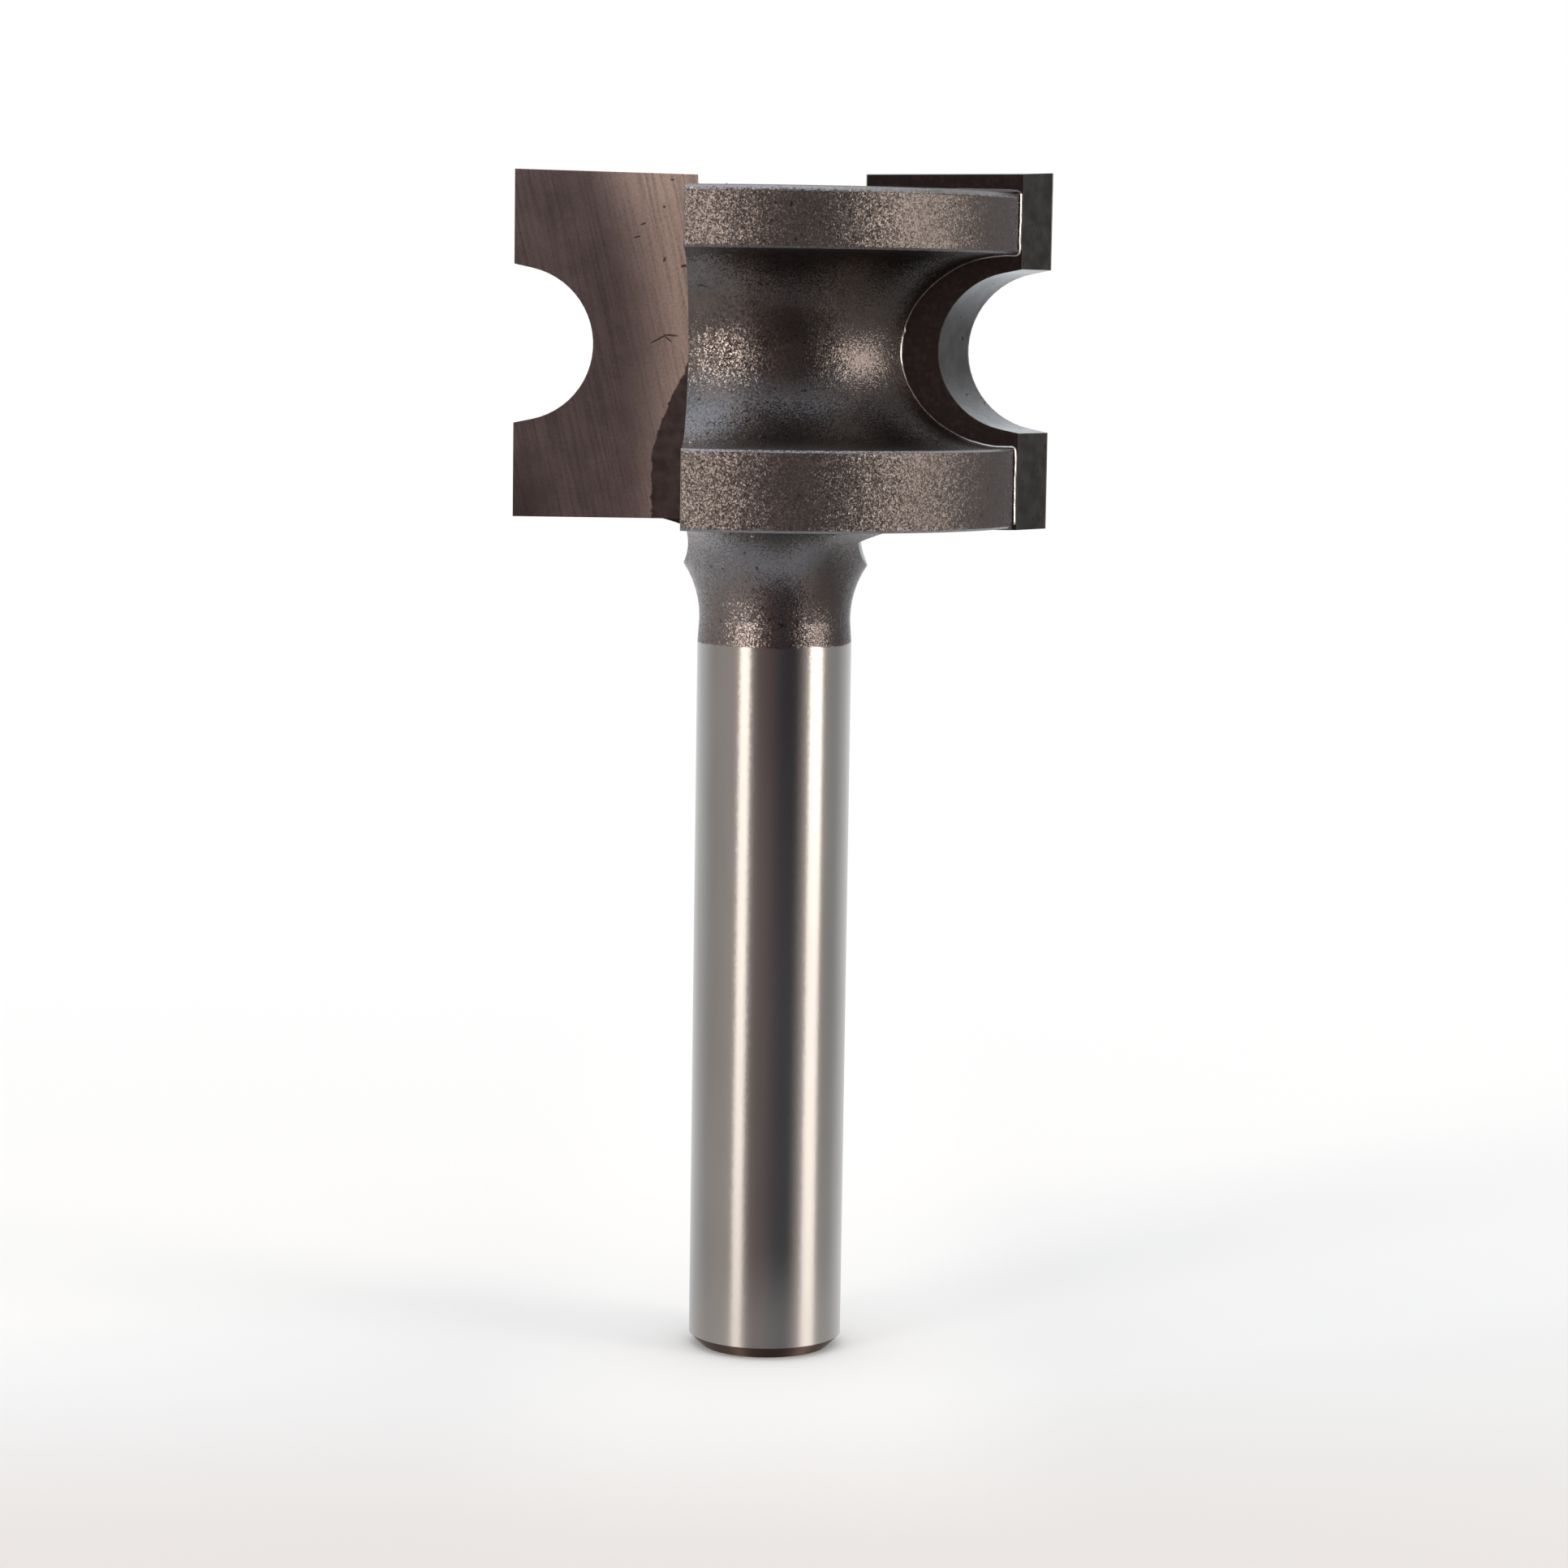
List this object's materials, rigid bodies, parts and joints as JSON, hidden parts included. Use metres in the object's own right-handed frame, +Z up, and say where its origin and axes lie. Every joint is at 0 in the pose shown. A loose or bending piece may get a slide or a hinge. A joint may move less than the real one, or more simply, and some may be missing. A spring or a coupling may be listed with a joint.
{
  "type": "router bit",
  "caption": "Half-round router bit: a straight round shank under a waisted steel head, with concave carbide cutting tips brazed into its open gullets.",
  "frame": {"origin": "middle of the shank's foot, on the plane it stands on", "axes": "+Z up the shank's axis to the cutting head, +X towards the side of tip a, whose cutting face looks to +Y"},
  "size_m": [0.0218, 0.0204, 0.0487],
  "materials": {
    "steel": "bead-blasted head and neck, ground shank",
    "carbide": "ground tungsten carbide",
    "braze": "bright brazing alloy"
  },
  "bodies": {
    "root": {"body": "steel", "cutting_tip_a": "carbide", "cutting_tip_b": "carbide", "braze_layer_a": "braze", "braze_layer_b": "braze"}
  },
  "joints": []
}
